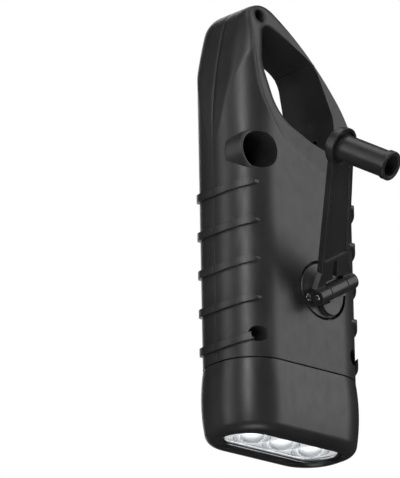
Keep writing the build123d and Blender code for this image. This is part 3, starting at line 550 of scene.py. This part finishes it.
def lamp_die(name, place, glow):
    """Square die with softened edges, in the cup's mouth."""
    mesh = bmesh.new()
    bmesh.ops.create_cube(mesh, size=1.0)
    bmesh.ops.scale(mesh, vec=(DIE_SIDE, DIE_SIDE, DIE_HEIGHT), verts=mesh.verts)
    soft = DIE_HEIGHT * DIE_ROUND
    bmesh.ops.bevel(mesh, geom=mesh.edges[:], offset=soft, segments=2, affect="EDGES")
    centre = place - Vector((0.0, 0.0, DIE_SINK * DIE_HEIGHT))
    bmesh.ops.translate(mesh, vec=centre, verts=mesh.verts)
    new_piece(name, mesh, "housing", glow)


def lamp_insides():
    """A cup and a die inside each clear lamp."""
    cup_metal = bright_metal("lead_frame", (0.72, 0.72, 0.70), 0.22)
    glow = phosphor()
    for name in ("led_left", "led_centre", "led_right"):
        low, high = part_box(name)
        level = low.z + CUP_LEVEL * (high.z - low.z)
        place = Vector(((low.x + high.x) / 2, (low.y + high.y) / 2, level))
        lamp_cup(name + "_cup", place, cup_metal)
        lamp_die(name + "_die", place, glow)


def joint_pad():
    """Thin stop pad on the free end of the gate, in the slit at the carabiner's joint."""
    source = nodes["carabiner_gate"].data
    top = max(vertex.co.z for vertex in source.vertices)
    groups = {}
    for face in source.polygons:
        if face.normal.z > FACES_UP and face.center.z > top - PAD_SEARCH:
            key = tuple(round(c, 2) for c in face.normal)
            groups.setdefault(key, []).append(face)
    end = max(groups.values(), key=lambda faces: sum(face.area for face in faces))
    away = end[0].normal.copy()
    mesh = bmesh.new()
    made = {}
    for face in end:
        corners = []
        for index in face.vertices:
            place = source.vertices[index].co + away * PAD_GAP
            key = tuple(round(c, 7) for c in place)
            if key not in made:
                made[key] = mesh.verts.new(place)
            corners.append(made[key])
        mesh.faces.new(corners)
    grown = bmesh.ops.extrude_face_region(mesh, geom=mesh.faces[:])
    moved = [item for item in grown["geom"] if isinstance(item, bmesh.types.BMVert)]
    bmesh.ops.translate(mesh, vec=away * PAD_THICKNESS, verts=moved)
    bmesh.ops.recalc_face_normals(mesh, faces=mesh.faces[:])
    new_piece("gate_stop_pad", mesh, "gate", button_rubber)


hub_screw_heads()
lamp_insides()
joint_pad()


# ---------------------------------------------------------------------------
# Floor, world, lamps and camera
# ---------------------------------------------------------------------------


def make_floor():
    """Pale floor that is clear from below, where the photograph looks up through it."""
    mesh = bmesh.new()
    bmesh.ops.create_grid(mesh, x_segments=4, y_segments=4, size=FLOOR_HALF)
    data = bpy.data.meshes.new("floor")
    mesh.to_mesh(data)
    mesh.free()
    floor = bpy.data.objects.new("floor", data)
    bpy.context.scene.collection.objects.link(floor)
    floor.location.z = FLOOR_LEVEL
    surface = Surface("floor_paper", 0.8)
    tone = surface.blend(surface.noise(3.0), (0.86, 0.86, 0.86), (0.89, 0.89, 0.89))
    surface.feed("Base Color", tone)
    rays = surface.nodes.new("ShaderNodeLightPath")
    geometry = surface.nodes.new("ShaderNodeNewGeometry")
    seen = surface.math("MAXIMUM", rays.outputs["Is Camera Ray"], rays.outputs["Is Diffuse Ray"])
    front = surface.math("SUBTRACT", 1.0, geometry.outputs["Backfacing"])
    clear = surface.nodes.new("ShaderNodeBsdfTransparent")
    mix = surface.nodes.new("ShaderNodeMixShader")
    surface.link(surface.math("MULTIPLY", seen, front), mix.inputs["Fac"])
    surface.link(clear.outputs["BSDF"], mix.inputs[1])
    surface.link(surface.shader.outputs["BSDF"], mix.inputs[2])
    surface.link(mix.outputs["Shader"], surface.nodes["Material Output"].inputs["Surface"])
    data.materials.append(surface.material)


def make_world():
    """White to the camera, dim to the body, and pale from below through the lamp window."""
    world = bpy.data.worlds.new("studio")
    bpy.context.scene.world = world
    world.use_nodes = True
    tree = world.node_tree
    light = tree.nodes["Background"]
    place = tree.nodes.new("ShaderNodeTexCoord")
    split = tree.nodes.new("ShaderNodeSeparateXYZ")
    tree.links.new(place.outputs["Generated"], split.inputs["Vector"])
    level = tree.nodes.new("ShaderNodeMapRange")
    level.inputs["From Min"].default_value = SKY_LOW
    level.inputs["From Max"].default_value = SKY_HIGH
    level.inputs["To Min"].default_value = SKY_LOW_LEVEL
    level.inputs["To Max"].default_value = SKY_HIGH_LEVEL
    tree.links.new(split.outputs["Z"], level.inputs["Value"])
    rays = tree.nodes.new("ShaderNodeLightPath")
    through = tree.nodes.new("ShaderNodeMix")
    through.inputs["A"].default_value = DIM_WORLD
    tree.links.new(rays.outputs["Is Transmission Ray"], through.inputs["Factor"])
    tree.links.new(level.outputs["Result"], through.inputs["B"])
    seen = tree.nodes.new("ShaderNodeMix")
    seen.inputs["B"].default_value = 1.0
    tree.links.new(rays.outputs["Is Camera Ray"], seen.inputs["Factor"])
    tree.links.new(through.outputs["Result"], seen.inputs["A"])
    light.inputs["Color"].default_value = (1.0, 1.0, 1.0, 1.0)
    tree.links.new(seen.outputs["Result"], light.inputs["Strength"])


def soft_lamp(name, direction, distance, size, power):
    """Rectangular softbox that faces the flashlight."""
    data = bpy.data.lights.new(name, "AREA")
    data.shape = "RECTANGLE"
    data.size, data.size_y = size
    data.energy = power
    lamp = bpy.data.objects.new(name, data)
    bpy.context.scene.collection.objects.link(lamp)
    way = Vector(direction).normalized()
    lamp.location = TARGET + way * distance
    lamp.rotation_euler = way.to_track_quat("Z", "Y").to_euler()
    lamp.visible_camera = False


def make_camera():
    """Camera of the photograph: the flashlight stands right of the middle of the frame."""
    back = Vector(
        (
            math.sin(AZIMUTH) * math.cos(ELEVATION),
            -math.cos(AZIMUTH) * math.cos(ELEVATION),
            math.sin(ELEVATION),
        )
    )
    level = Vector((math.cos(AZIMUTH), math.sin(AZIMUTH), 0.0))
    upright = back.cross(level)
    right = level * math.cos(ROLL) + upright * math.sin(ROLL)
    up = upright * math.cos(ROLL) - level * math.sin(ROLL)
    data = bpy.data.cameras.new("camera")
    data.lens = FOCAL_LENGTH
    data.sensor_width = SENSOR_WIDTH
    data.clip_start = 0.1
    data.clip_end = 30.0
    camera = bpy.data.objects.new("camera", data)
    bpy.context.scene.collection.objects.link(camera)
    place = TARGET + back * DISTANCE - right * FRAME_RIGHT - up * FRAME_UP
    turn = Matrix((right, up, back)).transposed().to_4x4()
    camera.matrix_world = Matrix.Translation(place) @ turn
    bpy.context.scene.camera = camera


make_floor()
make_world()
soft_lamp("lamp_back", (-0.63, 0.70, 0.34), LAMP_DISTANCE, (0.55, 0.9), 3.6)
soft_lamp("lamp_corner", (0.76, 0.54, 0.38), LAMP_DISTANCE, (0.10, 0.7), 3.6)
soft_lamp("lamp_side", (0.95, -0.28, 0.26), LAMP_DISTANCE, (0.35, 0.8), 1.8)
soft_lamp("lamp_front", (-0.50, -0.80, 0.40), LAMP_DISTANCE, (0.45, 0.9), 2.4)
soft_lamp("lamp_below", (0.25, 0.30, -1.0), NEAR_DISTANCE, (0.30, 0.30), 0.9)
soft_lamp("lamp_top", (0.1, 0.1, 1.0), LAMP_DISTANCE, (0.6, 0.6), 2.0)
make_camera()
bpy.context.scene.view_settings.view_transform = "Standard"
